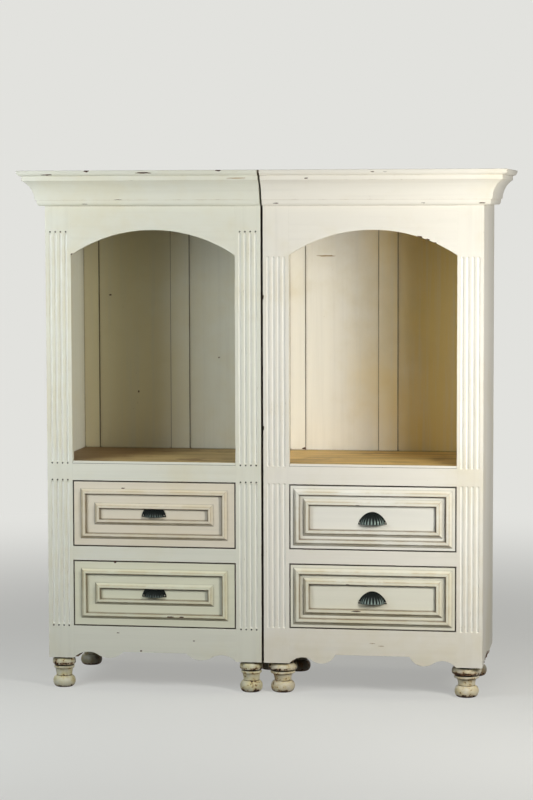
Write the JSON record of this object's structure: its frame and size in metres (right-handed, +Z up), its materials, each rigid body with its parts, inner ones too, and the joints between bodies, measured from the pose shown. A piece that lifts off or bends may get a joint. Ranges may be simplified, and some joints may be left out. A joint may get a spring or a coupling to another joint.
{
  "type": "armoire",
  "caption": "Painted wooden armoire in two joined sections, with open arched niches over sliding drawers, fluted stiles, coved cornice, cup pulls and turned feet.",
  "frame": {"origin": "on the floor, under the middle of the armoire's box", "axes": "+Z up, front towards -Y, +X to the right as seen from the front"},
  "size_m": [1.692, 0.592, 1.82],
  "materials": {
    "left_paint": "aged cream paint, brushed on wood, with a brown glaze in the joints and worn edges",
    "right_paint": "aged ivory paint, brushed on wood, with a brown glaze in the joints and worn edges",
    "feet_paint": "aged cream paint, badly worn to reddish wood on the rims",
    "shelf_wood": "bare brown wood with a waxed grain",
    "drawer_wood": "bare planed wood",
    "inner_wood": "bare sawn wood, aged",
    "pull_iron": "blackened iron, slightly green, rubbed on the ribs",
    "screw_steel": "dull screw heads",
    "bolt_steel": "plain zinc grey"
  },
  "bodies": {
    "carcass": {"section_bolts": "bolt_steel", "section_spacers": "inner_wood", "feet": "feet_paint", "foot_blocks": "inner_wood", "drawer_guides": "inner_wood", "left_inner_stile": "left_paint", "left_outer_stile": "left_paint", "left_arch_rail": "left_paint", "left_shelf_rail": "left_paint", "left_drawer_rail": "left_paint", "left_apron": "left_paint", "left_inner_side": "left_paint", "left_outer_side": "left_paint", "left_shelf": "shelf_wood", "left_bottom_board": "inner_wood", "left_top_board": "inner_wood", "left_back_frame": "left_paint", "left_back_panels": "left_paint", "left_cornice_front": "left_paint", "left_cornice_return": "left_paint", "right_inner_stile": "right_paint", "right_outer_stile": "right_paint", "right_arch_rail": "right_paint", "right_shelf_rail": "right_paint", "right_drawer_rail": "right_paint", "right_apron": "right_paint", "right_inner_side": "right_paint", "right_outer_side": "right_paint", "right_shelf": "shelf_wood", "right_bottom_board": "inner_wood", "right_top_board": "inner_wood", "right_back_frame": "right_paint", "right_back_panels": "right_paint", "right_cornice_front": "right_paint", "right_cornice_return": "right_paint"},
    "left_lower_drawer": {"left_lower_drawer_front": "left_paint", "left_lower_drawer_mouldings": "left_paint", "left_lower_drawer_box": "drawer_wood", "left_lower_drawer_bottom": "drawer_wood", "left_lower_drawer_pull": "pull_iron", "left_lower_drawer_pull_screws": "screw_steel"},
    "left_upper_drawer": {"left_upper_drawer_front": "left_paint", "left_upper_drawer_mouldings": "left_paint", "left_upper_drawer_box": "drawer_wood", "left_upper_drawer_bottom": "drawer_wood", "left_upper_drawer_pull": "pull_iron", "left_upper_drawer_pull_screws": "screw_steel"},
    "right_lower_drawer": {"right_lower_drawer_front": "right_paint", "right_lower_drawer_mouldings": "right_paint", "right_lower_drawer_box": "drawer_wood", "right_lower_drawer_bottom": "drawer_wood", "right_lower_drawer_pull": "pull_iron", "right_lower_drawer_pull_screws": "screw_steel"},
    "right_upper_drawer": {"right_upper_drawer_front": "right_paint", "right_upper_drawer_mouldings": "right_paint", "right_upper_drawer_box": "drawer_wood", "right_upper_drawer_bottom": "drawer_wood", "right_upper_drawer_pull": "pull_iron", "right_upper_drawer_pull_screws": "screw_steel"}
  },
  "joints": [
    {"name": "left_lower_drawer_slide", "type": "slide", "parent": "carcass", "child": "left_lower_drawer", "axis": [0, -1, 0], "range_m": [0, 0.36]},
    {"name": "left_upper_drawer_slide", "type": "slide", "parent": "carcass", "child": "left_upper_drawer", "axis": [0, -1, 0], "range_m": [0, 0.36]},
    {"name": "right_lower_drawer_slide", "type": "slide", "parent": "carcass", "child": "right_lower_drawer", "axis": [0, -1, 0], "range_m": [0, 0.36]},
    {"name": "right_upper_drawer_slide", "type": "slide", "parent": "carcass", "child": "right_upper_drawer", "axis": [0, -1, 0], "range_m": [0, 0.36]}
  ]
}
